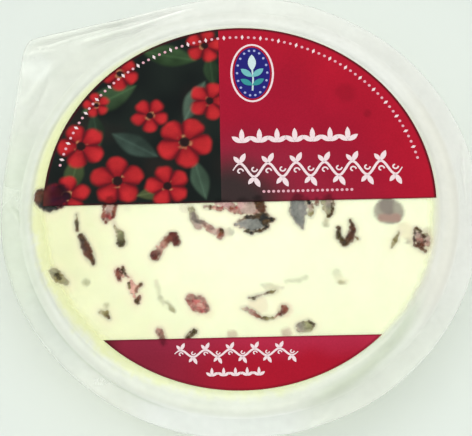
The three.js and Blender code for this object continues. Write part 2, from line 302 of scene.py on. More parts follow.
def fruit_field(strokes, x, y, seed=0):
    """Depth in the nearest of the strokes, with a knobbly edge, and the tone of the topmost."""
    x, y = np.asarray(x, float), np.asarray(y, float)
    edge = 0.22 * noise(x, y, 0.9, seed + 1) + 0.26 * noise(x, y, 0.46, seed + 2)
    depth = np.full(x.shape, -1e3)
    tone = np.zeros(x.shape + (3,))
    for stroke in strokes:
        reach = max(dab[2] for dab in stroke) + 3
        xs, ys = [dab[0] for dab in stroke], [dab[1] for dab in stroke]
        near = (x > min(xs) - reach) & (x < max(xs) + reach)
        near &= (y > min(ys) - reach) & (y < max(ys) + reach)
        if not near.any():
            continue
        here, its_tone = stroke_field(stroke, x[near], y[near])
        share = smooth(-0.2, 0.25, here + edge[near])
        unset = depth[near] < -100
        tone[near] = np.where(unset[:, None], its_tone, blend(tone[near], its_tone, share))
        depth[near] = np.maximum(depth[near], here)
    return depth + edge * smooth(-0.6, 0.2, depth), tone


# ---- The pack's levels ----

def from_print(x, y):
    return x - CENTRE[0], y - CENTRE[1]


def placed(px, py, level):
    """Points from their places round the print's centre and their levels."""
    return np.stack([px + CENTRE[0], py + CENTRE[1], level], axis=1)


def circle(sectors):
    return np.arange(sectors) / sectors * 2 * PI


def polar(radius, angles):
    return radius * np.cos(angles), radius * np.sin(angles)


def top_level(x, y):
    """Level of the film over the bare cheese."""
    broad = np.sin(x / 9 + 0.7) * np.cos(y / 11 - 0.4)
    small = 0.5 * np.sin(x / 4.3 - y / 5.1)
    return TOP_LEVEL - TOP_UNEVENNESS * (1 + (broad + small) / 1.5) * 0.5


def face_level(x, y):
    """Level of the film over the bare cheese, down its rounded shoulder too."""
    over = np.clip(np.hypot(x, y) - FLAT_RADIUS, 0, SHOULDER_ROUNDING)
    return top_level(x, y) - SHOULDER_ROUNDING + np.sqrt(SHOULDER_ROUNDING ** 2 - over ** 2)


def fruit_rise(x, y):
    """1 where fruit may stand up, 0 under the print and at the shoulder."""
    px, py = from_print(x, y)
    printed = smooth(PRINT_RADIUS + 0.5, PRINT_RADIUS - 0.3, np.hypot(px, py))
    upper = smooth(UPPER_CHORD - 1, UPPER_CHORD + 1.5, py) * printed
    lower = smooth(LOWER_CHORD + 1, LOWER_CHORD - 1, py) * printed
    return (1 - upper) * (1 - lower) * smooth(47.1, 46.0, np.hypot(x, y))


def film_level(x, y):
    """Level of the film, lifted where it lies over firm fruit."""
    depth, _ = fruit_field(FIRM, *from_print(x, y))
    return face_level(x, y) + FRUIT_RELIEF * smooth(-0.9, 0.9, depth) * fruit_rise(x, y)


def flange_reach(angle):
    """How far the flange reaches from its centre: a circle with one corner."""
    half_corner = math.acos(FLANGE_RADIUS / PEEL_REACH)
    from_tip = np.arctan2(np.sin(angle - PEEL_ANGLE), np.cos(angle - PEEL_ANGLE))
    blunted = np.minimum(np.hypot(from_tip, PEEL_BLUNTNESS), half_corner)
    return FLANGE_RADIUS / np.cos(half_corner - blunted)


# Folds in the film, most of them beside the peel corner: ends, half width and height
FOLDS = [
    ((-50.3, 43.2), (-14.0, 53.0), 0.3, 0.42),
    ((-49.2, 42.2), (-26.0, 49.0), 0.35, -0.34),
    ((-48.6, 41.3), (-30.0, 47.2), 0.3, 0.36),
    ((-37.0, 43.3), (-10.0, 52.2), 0.45, 0.42),
    ((-35.6, 42.3), (-18.0, 48.6), 0.45, -0.3),
    ((-30.0, 47.8), (-12.0, 52.6), 0.3, -0.25),
    ((-40.5, 48.0), (-33.0, 50.6), 0.3, 0.3),
    ((-50.4, 40.1), (-42.4, 41.6), 0.3, 0.38),
    ((-50.8, 39.0), (-43.4, 39.8), 0.4, -0.3),
    ((-43.1, 38.7), (-51.0, 27.0), 0.8, 0.22),
    ((-47.0, 35.5), (-50.8, 37.6), 1.6, 0.2),
    ((-44.5, 34.0), (-49.5, 22.0), 0.5, -0.16),
    ((51.6, 14.8), (51.9, 0.3), 0.35, -0.22),
    ((52.1, 13.0), (52.4, 1.0), 0.3, 0.18),
    ((49.2, 41.8), (43.5, 36.6), 0.6, 0.18),
    ((-53.5, 2.0), (-49.8, -4.0), 0.6, 0.2),
    ((14.0, -53.0), (19.0, -49.5), 0.6, 0.18),
]


def fold_height(px, py):
    """Height of the folds in the film."""
    height = np.zeros(np.shape(px))
    for (ax, ay), (bx, by), width, size in FOLDS:
        length = math.hypot(bx - ax, by - ay)
        along = ((px - ax) * (bx - ax) + (py - ay) * (by - ay)) / length
        across = ((px - ax) * (by - ay) - (py - ay) * (bx - ax)) / length
        across = across + 0.35 * noise(along, 0, 5, int(abs(ax)))
        window = smooth(-1.5, 2.5, along) * smooth(-1.5, 4, length - along)
        height = height + size * window * np.exp(-(across / width) ** 2)
    return height


def flange_level(angle, reach, outward, lift):
    """Level of the flange's upper face. outward runs from 0 where the seal starts to 1 outside."""
    sag = -FLANGE_SAG * outward ** 2
    wave = FLANGE_WAVE * outward * np.sin(FLANGE_WAVES * angle + 0.8) * np.cos(2 * angle)
    peel = np.maximum(0, reach - FLANGE_RADIUS) / (PEEL_REACH - FLANGE_RADIUS)
    crease = PEEL_CREASE * np.sin(PI * peel) * np.sin(3 * (angle - PEEL_ANGLE) + 1.2)
    return FLANGE_LEVEL + sag + wave + lift * peel ** 2 + crease


# ---- Mesh helpers ----

def add_mesh(name, points, faces, tint=None, haze=None, flat=False):
    """A mesh object from points in mm, with a colour or a number at each point."""
    mesh = bpy.data.meshes.new(name)
    points = np.asarray(points, float)
    mesh.vertices.add(len(points))
    mesh.vertices.foreach_set("co", (points * MM).ravel())
    sizes = np.array([len(face) for face in faces])
    mesh.loops.add(int(sizes.sum()))
    mesh.loops.foreach_set("vertex_index", np.concatenate(faces).astype(np.int32))
    mesh.polygons.add(len(faces))
    starts = np.cumsum(sizes) - sizes
    mesh.polygons.foreach_set("loop_start", starts.astype(np.int32))
    mesh.update(calc_edges=True)
    if tint is not None:
        colours = np.insert(np.clip(tint, 0, 1), 3, 1, axis=1).astype(np.float32)
        attribute = mesh.color_attributes.new("Tint", "FLOAT_COLOR", "POINT")
        attribute.data.foreach_set("color", colours.ravel())
    if haze is not None:
        attribute = mesh.attributes.new("Haze", "FLOAT", "POINT")
        attribute.data.foreach_set("value", np.clip(haze, 0, 1).astype(np.float32))
    mesh.polygons.foreach_set("use_smooth", np.full(len(faces), not flat))
    mesh.validate()
    piece = bpy.data.objects.new(name, mesh)
    scene.collection.objects.link(piece)
    return piece


def ring_faces(rings, sectors, first=0):
    """Four-sided faces between rings of points that follow each other, going outward on top."""
    i = np.arange(sectors)
    after = (i + 1) % sectors
    quad = np.stack([i, sectors + i, sectors + after, after], axis=1)
    return np.concatenate([quad + first + k * sectors for k in range(rings - 1)])


def capped(rings):
    """Points and faces of a closed skin: a pole on top, the rings, and a pole below."""
    sectors = len(rings[0])
    top, foot = rings[0].mean(axis=0), rings[-1].mean(axis=0)
    points = np.concatenate([top[None], *rings, foot[None]])
    i = np.arange(sectors)
    after = (i + 1) % sectors
    last = len(points) - 1
    cap = np.stack([np.zeros(sectors, int), 1 + i, 1 + after], axis=1)
    base = np.stack([last - sectors + i, np.full(sectors, last), last - sectors + after], axis=1)
    return points, [*ring_faces(len(rings), sectors, 1), *cap, *base]


# ---- Materials ----

class Nodes:
    """Builds one material's nodes with few words."""

    def __init__(self, name):
        self.material = bpy.data.materials.new(name)
        self.material.use_nodes = True
        self.tree = self.material.node_tree
        self.tree.nodes.clear()
        self.output = self.tree.nodes.new("ShaderNodeOutputMaterial")

    def add(self, kind, inputs=None, **settings):
        node = self.tree.nodes.new("ShaderNode" + kind)
        for key, value in settings.items():
            setattr(node, key, value)
        for key, value in (inputs or {}).items():
            if isinstance(value, bpy.types.NodeSocket):
                self.tree.links.new(value, node.inputs[key])
            else:
                node.inputs[key].default_value = value
        return node

    def noise(self, scale, detail=3.0, roughness=0.5):
        """Noise over the object's own coordinates, scale in lumps per metre."""
        place = self.add("TexCoord").outputs["Object"]
        inputs = {"Vector": place, "Scale": scale, "Detail": detail, "Roughness": roughness}
        return self.add("TexNoise", inputs).outputs["Fac"]

    def remap(self, value, low, high, to_low, to_high):
        inputs = {"Value": value, "From Min": low, "From Max": high, "To Min": to_low,
                  "To Max": to_high}
        return self.add("MapRange", inputs).outputs["Result"]

    def math(self, operation, a, b):
        return self.add("Math", {0: a, 1: b}, operation=operation).outputs["Value"]

    def shade(self, colour, factor):
        """The colour times the factor."""
        inputs = {0: colour, "Scale": factor}
        return self.add("VectorMath", inputs, operation="SCALE").outputs["Vector"]

    def attribute(self, name, output):
        return self.add("Attribute", attribute_name=name).outputs[output]

    def bump(self, grain, strength, distance):
        inputs = {"Height": self.noise(*grain), "Strength": strength, "Distance": distance}
        return self.add("Bump", inputs).outputs["Normal"]

    def mix(self, share, first, second):
        inputs = {0: share, 1: first.outputs[0], 2: second.outputs[0]}
        return self.add("MixShader", inputs)

    def finish(self, shader):
        self.tree.links.new(shader.outputs[0], self.output.inputs["Surface"])
        return self.material


def opaque_material(name, grains, roughness, bump=None, **settings):
    """A material in its mesh's Tint. Each grain is a noise, and how its remap scales the tint."""
    n = Nodes(name)
    tint = n.attribute("Tint", "Color")
    for grain, span in grains:
        tint = n.shade(tint, n.remap(n.noise(*grain), *span))
    scale, low, high = roughness
    inputs = {"Base Color": tint, "Roughness": n.remap(n.noise(scale), 0.3, 0.7, low, high)}
    if bump:
        inputs["Normal"] = n.bump(*bump)
    inputs.update({key.replace("_", " "): value for key, value in settings.items()})
    return n.finish(n.add("BsdfPrincipled", inputs))


def cheese_material():
    grains = [((260, 4), (0.3, 0.7, 0.975, 1.015)), ((1500, 3), (0.3, 0.7, 0.985, 1.01))]
    return opaque_material(
        "white_cheese", grains, (700, 0.5, 0.7), ((1100, 5, 0.6), 0.25, 0.0002),
        Subsurface_Weight=0.15, Subsurface_Radius=(0.0012, 0.0009, 0.0005), Subsurface_Scale=1.0)


def fruit_material():
    grains = [((1200, 4, 0.6), (0.25, 0.75, 0.75, 1.25))]
    return opaque_material("dried_fruit", grains, (800, 0.4, 0.6), ((1300, 4), 0.5, 0.0003),
                           Specular_IOR_Level=0.15)


def print_material():
    grains = [((2600, 2), (0.3, 0.7, 0.94, 1.06))]
    return opaque_material("red_print", grains, (500, 0.4, 0.55), Specular_IOR_Level=0.06)


def film_material(name, gloss_roughness):
    """Clear film: see-through, milky where its Haze says, in its Tint, and glossy."""
    n = Nodes(name)
    own_haze = n.attribute("Haze", "Fac")
    haze = n.math("MULTIPLY", own_haze, n.remap(n.noise(160, 3), 0.3, 0.7, 0.9, 1.1))
    bump = n.bump((420, 3), 0.12, 0.0003)
    milk = n.add("BsdfPrincipled", {
        "Base Color": n.attribute("Tint", "Color"), "Roughness": 0.3,
        "Specular IOR Level": 0.2, "Normal": bump})
    clear = n.add("BsdfTransparent", {"Color": (1, 1, 1, 1)})
    gloss = n.add("BsdfGlossy", {"Roughness": gloss_roughness, "Normal": bump})
    fresnel = n.add("Fresnel", {"IOR": 1.42, "Normal": bump}).outputs[0]
    sheen = n.math("MINIMUM", n.math("ADD", own_haze, 0.22), 0.8)
    skin = n.mix(n.math("MULTIPLY", fresnel, sheen), n.mix(haze, clear, milk), gloss)
    from_lamp = n.add("LightPath").outputs["Is Shadow Ray"]
    return n.finish(n.mix(from_lamp, skin, clear))


def floor_material():
    n = Nodes("pale_floor")
    place = n.add("TexCoord").outputs["Object"]
    away = n.add("VectorMath", {0: place}, operation="LENGTH").outputs["Value"]
    # Painted light: the floor is lighter near the pack, to cancel the shade that the pack casts on
    # it.
    painted_light_near_pack = n.remap(away, 0.05, 0.085, 1.16, 1.0)
    soft = n.math("MULTIPLY", painted_light_near_pack, n.remap(n.noise(14, 3), 0.3, 0.7, 0.98, 1.02))
    base = n.shade(tuple(linear(FLOOR_TONE)), soft)
    return n.finish(n.add("BsdfPrincipled", {"Base Color": base, "Roughness": 0.7}))


# ---- The cheese ----

CHEESE_TONE = linear((230, 232, 202))
RIM_TONE = linear((215, 215, 174))
SIDE_TONE = linear((236, 232, 202))
VEIL_PAINTED_LIGHT = 0.5  # painted light: by which the cheese's colour is lightened under a little haze, to make up for the shade that the haze casts, as it lets no light by
SIDE_RUN = 47  # length of the side for each radian round it
SIDE_SLACK = 0.1  # between the cheese's side and where a tight film would have it


def side_noise(angles, level, size, seed):
    return noise(angles * SIDE_RUN, level, size, seed)


def cheese_tint(x, y, radius_share):
    """Colour of the cheese, yellower towards its rim at the left and the front."""
    left = 0.57 + 0.43 * np.cos(np.arctan2(y, x) - math.radians(190))
    rim = smooth(0.15, 1.0, radius_share) * left
    blotch = 0.12 * noise(x, y, 11, 3) + 0.08 * noise(x, y, 4, 4)
    tint = blend(CHEESE_TONE, RIM_TONE, np.clip(rim + blotch * rim, 0, 1))
    return scaled(tint, 1 + 0.018 * noise(x, y, 6, 8))


def stained(tint, px, py):
    """The cheese's colour with the veiled fruit, the halo round firm fruit, and painted light where
    the film's haze begins.
    """
    veil = rim_haze(px, py)
    # Painted light: the cheese is lightened where the lid's haze is thin, to cancel the shade that
    # the haze casts on it.
    tint = scaled(tint, 1 + VEIL_PAINTED_LIGHT * veil * (1 - veil) ** 2)
    for share, stroke in VEILED:
        depth, tone = fruit_field([stroke], px, py, 5)
        tint = blend(tint, tone, share * smooth(-0.5, 0.35, depth))
    depth, tone = fruit_field(FIRM, px, py)
    halo = 0.3 * smooth(-2.6, -0.2, depth + 0.6 * noise(px, py, 2, 71))
    tint = blend(tint, TONES["peach"], halo)
    return blend(tint, blend(tone, CHEESE_TONE, 0.3), 0.6 * smooth(-0.75, 0.1, depth))


def make_cheese():
    sectors, spacing = 560, 0.48
    angles = circle(sectors)
    rings, tints = [], []

    def add_face(radius, rise_at):
        """A ring of the upper face. rise_at gives its height over the face's own level."""
        x, y = polar(radius, angles)
        rings.append(np.stack([x, y, top_level(x, y) - CHEESE_INSET + rise_at(x, y)], axis=1))
        share = radius / CUP_RADIUS if radius < FLAT_RADIUS else 1
        tints.append(stained(cheese_tint(x, y, share), *from_print(x, y)))

    def add_ring(radius, level, tint):
        x, y = polar(radius, angles)
        rings.append(np.stack([x, y, level + 0 * x], axis=1))
        tints.append(tint + np.zeros((sectors, 3)))

    def grain(x, y):
        return 0.02 * noise(x, y, 1.4, 6) + 0.012 * noise(x, y, 0.7, 7) - 0.02

    for radius in np.arange(spacing, FLAT_RADIUS, spacing):
        add_face(radius, grain)
    for lean in np.linspace(0, PI / 2, 6):
        drop = SHOULDER_ROUNDING * (1 - math.cos(lean))
        radius = FLAT_RADIUS + (SHOULDER_ROUNDING - CHEESE_INSET) * math.sin(lean)
        add_face(radius, lambda x, y: -drop)
    for level in np.linspace(TOP_LEVEL - SHOULDER_ROUNDING - 1, FOOT_ROUNDING + 0.5, 18):
        share = (level - FOOT_ROUNDING) / (TOP_LEVEL - FOOT_ROUNDING)
        crumb = 0.08 * side_noise(angles, level, 2.2, 9) + 0.05 * side_noise(angles, level, 0.9, 10)
        radius = WALL_RADIUS + CUP_DRAFT * share - CHEESE_INSET - SIDE_SLACK + crumb
        yellow = 0.35 + 0.35 * side_noise(angles, level, 6, 11)
        add_ring(radius, level, blend(SIDE_TONE, RIM_TONE, yellow))
    for lean in np.linspace(0, PI / 2, 9):
        radius = FOOT_RADIUS + (WALL_RADIUS - FOOT_RADIUS - CHEESE_INSET) * math.cos(lean) - 0.15
        lowest = CHEESE_INSET + 0.1
        add_ring(radius, lowest + (FOOT_ROUNDING - lowest) * (1 - math.sin(lean)), SIDE_TONE)
    for radius in np.arange(FOOT_RADIUS - 1.5, 1, -1.5):
        x, y = polar(radius, angles)
        level = CHEESE_INSET + 0.06 + 0.03 * noise(x, y, 3, 12)
        add_ring(radius, level, cheese_tint(x, y, 0.7))
    tint = np.concatenate([tints[0][:1], *tints, tints[-1][:1]])
    return add_mesh("cheese_round", *capped(rings), tint=tint)


# ---- Fruit meshes ----

FULL_DEPTH = 0.9  # in from its edge, where a piece of fruit has its full height
FRUIT_EDGE = 46.7  # how far from the axis the fruit on top may lie
TOP_FRUIT_SUNK = 0.02  # by which the edge of a piece lies under the cheese's face


def contour(depth, xs, ys):
    """Triangles that cover the places where depth is above 0, cut off along its edge.

    Returns the points' x, y and depth, the triangles, and how many of the points are inside.
    """
    nx, ny = len(xs), len(ys)
    x, y, d = (grid.ravel() for grid in (*np.meshgrid(xs, ys, indexing="ij"), depth))
    a = np.arange(nx * ny).reshape(nx, ny)[:-1, :-1].ravel()
    b, c, e = a + ny, a + ny + 1, a + 1
    triangles = np.concatenate([np.stack([a, b, c], 1), np.stack([a, c, e], 1)])
    inside = d[triangles] > 0
    count = inside.sum(axis=1)
    total = len(d)

    def turn_first(rows, wanted):
        """The corners of each row, turned so that the one that is wanted comes first."""
        pick = (wanted.argmax(axis=1)[:, None] + np.arange(3)) % 3
        return np.take_along_axis(rows, pick, axis=1).T

    def cut(p, q):
        """A number over total for the point where the edge between p and q is cut."""
        return np.minimum(p, q) * total + np.maximum(p, q) + total

    tip, left, right = turn_first(triangles[count == 1], inside[count == 1])
    lost, after, before = turn_first(triangles[count == 2], ~inside[count == 2])
    keys, index = np.unique(np.concatenate([
        triangles[count == 3],
        np.stack([tip, cut(tip, left), cut(tip, right)], 1),
        np.stack([after, before, cut(lost, before)], 1),
        np.stack([after, cut(lost, before), cut(lost, after)], 1)]), return_inverse=True)
    kept = keys[keys < total]
    low, high = np.divmod(keys[keys >= total] - total, total)
    t = d[low] / (d[low] - d[high])
    px = np.concatenate([x[kept], x[low] + (x[high] - x[low]) * t])
    py = np.concatenate([y[kept], y[low] + (y[high] - y[low]) * t])
    return px, py, np.concatenate([d[kept], 0 * t]), index.reshape(-1, 3), len(kept)


def mottled(tone, u, v, depth, seed):
    """The tone with dark specks and pale flesh, both more where it's red, and a pale edge."""
    redness = smooth(0.15, 0.5, (tone[:, 0] - tone[:, 1]) / (tone[:, 0] + 0.02))
    light = tone.mean(axis=1)
    dark_share = (0.3 + 0.4 * redness) * smooth(0.34, 0.22, light)
    pale_share = (0.1 + 0.36 * redness) * smooth(0.03, 0.11, light)
    tone = blend(tone, tone * 0.42, dark_share * smooth(-0.05, 0.6, noise(u, v, 0.62, seed + 6)))
    flesh = blend(tone, TONES["peach"], 0.3)
    tone = blend(tone, flesh, pale_share * smooth(0.0, 0.7, noise(u, v, 0.6, seed + 7)))
    tone = scaled(tone, 1 + 0.2 * noise(u, v, 1.5, seed + 8))
    return blend(tone, TONES["peach"], 0.3 * smooth(0.45, 0.0, depth))


def pillows(name, strokes, low, high, step, place, relief, sunk, limit=None, seed=0):
    """One mesh of closed lumps of fruit. place(u, v, height) gives points in space."""
    xs, ys = np.arange(low[0], high[0], step), np.arange(low[1], high[1], step)
    grid = np.meshgrid(xs, ys, indexing="ij")
    depth, _ = fruit_field(strokes, *grid, seed)
    if limit is not None:
        depth = np.minimum(depth, limit(*grid))
    u, v, d, triangles, inner = contour(depth, xs, ys)
    _, tone = fruit_field(strokes, u, v, seed)
    tone = mottled(tone, u, v, d, seed)
    swell = np.sqrt(1 - (1 - np.clip(d / FULL_DEPTH, 0, 1)) ** 2)
    wrinkle = 1 + 0.3 * noise(u, v, 0.7, seed + 4) + 0.15 * noise(u, v, 0.35, seed + 5)
    above = place(u, v, relief * swell * wrinkle)
    below = place(u[:inner], v[:inner], -sunk * swell[:inner])
    flipped = triangles[:, ::-1]
    flipped = np.where(flipped < inner, flipped + len(u), flipped)
    return add_mesh(name, np.concatenate([above, below]), [*triangles, *flipped],
                    tint=np.concatenate([tone, tone[:inner]]))


def make_top_fruit():
    def on_top(u, v, height):
        x, y = u + CENTRE[0], v + CENTRE[1]
        height = np.where(height > 0, height * fruit_rise(x, y), height)
        level = face_level(x, y) - CHEESE_INSET - TOP_FRUIT_SUNK
        return placed(u, v, level + height)

    def in_reach(u, v):
        inside = FRUIT_EDGE - np.hypot(u + CENTRE[0], v + CENTRE[1])
        return np.minimum(inside, np.minimum(UPPER_CHORD + 6 - v, v - LOWER_CHORD + 3))

    return pillows("fruit_on_top", FIRM, (-48, -36), (46, 7), 0.16, on_top,
                   FRUIT_RELIEF, 0.5, limit=in_reach)


def random_strokes(rng, count, u_range, v_range, apart):
    """Strokes like those on top, scattered with a seeded draw and kept apart from each other."""
    kinds = ["maroon dusky maroon", "brown bark brown", "rose salmon pink", "slate ash mauve",
             "red_brown pink maroon", "dark_olive moss olive", "wine black bark"]
    strokes, middles = [], []
    while len(strokes) < count:
        u, v = rng.uniform(*u_range), rng.uniform(*v_range)
        tones = kinds[rng.randint(len(kinds))].split()
        size, angle, bend = rng.uniform(0.6, 1.9), rng.uniform(0, PI), rng.uniform(-0.5, 0.5)
        stretch = rng.uniform(0.6, 2.2) if size < 1.3 else rng.uniform(0.3, 1.0)
        if any(math.hypot(u - a, v - b) < apart for a, b in middles):
            continue
        middles.append((u, v))
        stroke = []
        for k, tone in zip((-1, 0, 1), tones):
            along, turn = k * size * stretch, angle + bend * k
            stroke.append((u + along * math.cos(turn), v + along * math.sin(turn),
                           size * rng.uniform(0.65, 1.0), tone))
        strokes.append(stroke)
    return strokes


def make_side_fruit():
    """Fruit in the cheese's side. u runs round it and v is the level."""
    around = 2 * PI * WALL_RADIUS
    wall = WALL_RADIUS - CHEESE_INSET - SIDE_SLACK
    strokes = random_strokes(np.random.RandomState(11), 34, (3, around - 3), (8.5, 16.5), 6)

    def on_side(u, v, height):
        radius = wall + CUP_DRAFT * (v - FOOT_ROUNDING) / (TOP_LEVEL - FOOT_ROUNDING) + height
        return np.stack([*polar(radius, u / around * 2 * PI), v], axis=1)

    return pillows("fruit_in_side", strokes, (0, 5), (around, 19.5), 0.25, on_side, 0.1, 0.4,
                   limit=lambda u, v: np.minimum(18.0 - v, v - FOOT_ROUNDING), seed=20)


def make_foot_fruit():
    """Fruit in the cheese's underside."""
    strokes = random_strokes(np.random.RandomState(23), 62, (-36, 36), (-36, 36), 5.5)
    strokes = [s for s in strokes if math.hypot(s[1][0], s[1][1]) < FOOT_RADIUS - 4]

    def on_foot(u, v, height):
        return np.stack([u, -v, CHEESE_INSET + 0.03 - height], axis=1)

    return pillows("fruit_in_foot", strokes, (-40, -40), (40, 40), 0.3, on_foot, 0.06, 0.4,
                   seed=30)


# ---- The film ----

# How milky one face of the lid is: over the cheese, on the skirt, in the seal and at its edge
HAZE_TOP, HAZE_SKIRT, HAZE_SEAL, HAZE_EDGE = 0.004, 0.62, 0.5, 0.32
HAZE_FOOT, HAZE_ROUNDING, HAZE_SIDE = 0.008, 0.05, 0.04  # of the cup's film
FILM_SHADE = 0.81  # of the film's tones, as light passes it unhindered and lights it twice
SKIRT_STEPS, SEAL_STEPS = 12, 21  # from ring to ring of the lid
CUP_SKIRT_STEPS, CUP_SEAL_STEPS = 8, 17
CUP_DROP = 2.6 * FILM  # of the cup's layer of the flange under the lid's
CUP_LIFT = 0.45  # of the cup's layer at the peel corner, as a share of the lid's
CUP_SHORT = 0.35  # by which the cup's layer ends before the lid's
# Painted light and shade on the milky film, by angle round the pack: tone, share, the middle, half
# width and softness of its angle, and the radii between which it comes in, or goes out where the
# first is the larger
FILM_PAINTED_LIGHT = [
    ((238, 237, 233), 1, (35, 50, 35)),
    ((238, 238, 232), 0.9, (92, 14, 20)),
    ((247, 247, 242), 0.9, (92, 14, 20), (50.4, 51.4)),
    ((246, 248, 246), 0.8, (264, 14, 12), (49.6, 50.8)),
    ((210, 219, 199), 0.9, (190, 16, 18), (50.0, 51.2)),
    ((219, 224, 216), 0.8, (213, 6, 14), (50.0, 51.2)),
    ((219, 226, 209), 0.7, (183, 14, 18), (48.0, 49.5)),
    ((229, 226, 218), 1, (0, 24, 20), (50.8, 49.8)),
    ((225, 228, 215), 0.6, (157, 13, 16), (50.8, 50.2), (48.4, 49.4)),
    ((242, 244, 237), 0.5, (139, 14, 12), (54, 58)),
]


def window(angle, centre, half, soft):
    """1 within half of centre, 0 beyond half + soft. All but the angle are in degrees."""
    off = np.degrees(angle) - centre
    off = np.abs((off + 180) % 360 - 180)
    return smooth(half + soft, half, off)


def rim_haze(px, py):
    """Milkiness of the lid from over the cheese out to the skirt."""
    radius, angle = np.hypot(px, py), np.arctan2(py, px)
    depth, _ = fruit_field(FIRM, px, py)
    over_fruit = smooth(-0.8, 0.2, depth) * smooth(48, 47, radius)
    start = 43.8 - 1.2 * window(angle, 50, 55, 15)
    veil = smooth(start, start + 2.4, radius + 0.3 * noise(px, py, 1.1, 22))
    return HAZE_TOP + (HAZE_SKIRT - HAZE_TOP) * veil * (1 - over_fruit)


def seal_haze(px, py, outward):
    """Milkiness of the seal: clearer in patches, milky on the folds and at the edge."""
    patch = noise(px, py, 9, 16) + 0.6 * noise(px, py, 2.6, 17)
    edge = smooth(0.86, 1.0, outward)
    haze = HAZE_SEAL * (1 + 0.25 * patch) + (HAZE_EDGE - HAZE_SEAL) * edge
    return haze + 0.9 * np.abs(fold_height(px, py)) ** 1.2


def cream_share(radius, angle):
    """How much of the cheese's cream shows in the milkiness round its rim."""
    middle = 45.2 + 2.4 * window(angle, 182, 20, 62) + 1.1 * window(angle, 262, 20, 25)
    middle = middle - 0.7 * window(angle, 35, 95, 30)
    tufts = 0.7 * side_noise(angle, radius, 0.8, 23) + 0.5 * noise(*polar(radius, angle), 2.2, 24)
    tufts = tufts * (0.25 + 0.75 * window(angle, 235, 45, 15))
    return smooth(middle + 1.5, middle - 1.3, radius + tufts)


def film_tint(px, py):
    """Tone of the milkiness, with painted light and shade in it."""
    radius, angle = np.hypot(px, py), np.arctan2(py, px)
    tint = linear((235, 237, 228))
    for tone, share, place, *reaches in FILM_PAINTED_LIGHT:
        share = share * window(angle, *place)
        for start, end in reaches:
            share = share * smooth(start, end, radius)
        tint = tinge(tint, tone, share)
    # Painted shadow: a darker band in the groove beside the cheese at the lower right.
    off_groove_shadow = (radius - 48.7 + 4.2 * (angle + math.radians(60))) / 1.6
    groove_shadow = 0.9 * window(angle, 308, 12, 14) * np.exp(-off_groove_shadow ** 2)
    tint = tinge(tint, (203, 209, 192), groove_shadow)
    cream = tinge(linear((240, 243, 204)), (236, 238, 186), window(angle, 196, 20, 45))
    tint = blend(tint, cream, cream_share(radius, angle))
    # Painted shade: darker along the flange's outer edge at the left and lower left, where the
    # edge's shadow lies.
    tint = scaled(tint, 1 - 0.06 * smooth(53.8, 54.8, radius) * window(angle, 203, 26, 24))
    # Painted highlight on a facet of the peel corner.
    facet_highlight = smooth(4.5, 2.5, np.hypot(px + 47.6, py - 36.8))
    tint = tinge(tint, (248, 251, 246), 0.6 * facet_highlight)
    # Painted shade: a thin dark line along the skirt's foot at the lower left.
    foot = np.exp(-((radius - SKIRT_RADIUS) / 0.35) ** 2) * window(angle, 225, 17, 16)
    tint = tinge(tint, (204, 212, 196), 0.6 * foot)
    uneven = 0.02 * noise(px, py, 7, 61) + 0.01 * noise(px, py, 2.5, 62)
    # Painted light and shade: lighter round the shoulder and skirt to make up for the shade there,
    # a little darker over the flange, lighter on raised folds and darker on sunken ones.
    inner = smooth(45.6, 46.6, radius - 1.9 * window(angle, 185, 28, 40))
    shade = FILM_SHADE + 0.085 * inner * smooth(50, 48.4, radius)
    shade = shade - 0.03 * smooth(50.4, 51.4, radius)
    return scaled(tint, shade + uneven + 0.3 * fold_height(px, py))


def shell(name, outer, haze, side):
    """A closed skin of film from rings of points of its outer face, which faces up for side 1
    and down for side -1."""
    grid = np.stack(outer)
    rings, sectors = grid.shape[:2]
    around = np.roll(grid, -1, axis=1) - np.roll(grid, 1, axis=1)
    normal = np.cross(np.gradient(grid, axis=0), around) * side
    normal /= np.maximum(np.linalg.norm(normal, axis=2, keepdims=True), 1e-9)
    pole, pole_normal = grid[0].mean(axis=0), normal[0].mean(axis=0)
    pole_normal /= np.linalg.norm(pole_normal)
    points = np.concatenate([grid.reshape(-1, 3), (grid - normal * FILM).reshape(-1, 3),
                             [pole, pole - pole_normal * FILM]])
    count = rings * sectors
    quads = ring_faces(rings, sectors)
    i = np.arange(sectors)
    after = (i + 1) % sectors
    last = count - sectors
    rim = np.stack([last + i, last + count + i, last + count + after, last + after], 1)
    top = np.stack([np.full(sectors, 2 * count), i, after], 1)
    under = np.stack([np.full(sectors, 2 * count + 1), count + after, count + i], 1)
    faces = [face[::side] for face in [*quads, *(quads[:, ::-1] + count), *rim, *top, *under]]
    haze = np.concatenate([np.stack(haze).ravel()] * 2 + [haze[0][:1]] * 2)
    tint = film_tint(*from_print(points[:, 0], points[:, 1]))
    return add_mesh(name, points, faces, tint=tint, haze=haze)


def skirt_rings(angles, start, outwards, drop=0):
    """Rings down the skirt, from one on the cup to the seal, with the share of the way."""
    foot = flange_level(angles, SKIRT_RADIUS, 0, PEEL_LIFT) - drop
    far = CENTRE + np.stack(polar(SKIRT_RADIUS, angles), 1)
    for outward in outwards:
        xy = start[:, :2] + (far - start[:, :2]) * outward
        level = foot + (start[:, 2] - foot) * (1 - outward) ** SKIRT_STEEPNESS
        yield outward, np.column_stack([xy, level])


def seal_rings(angles, edge, steps, lift, drop=0):
    """Rings out over the flange to its edge: share of the way, px, py and level."""
    for outward in np.linspace(0, 1, steps + 1):
        reach = SKIRT_RADIUS + (edge - SKIRT_RADIUS) * outward
        yield outward, *polar(reach, angles), flange_level(angles, reach, outward, lift) - drop


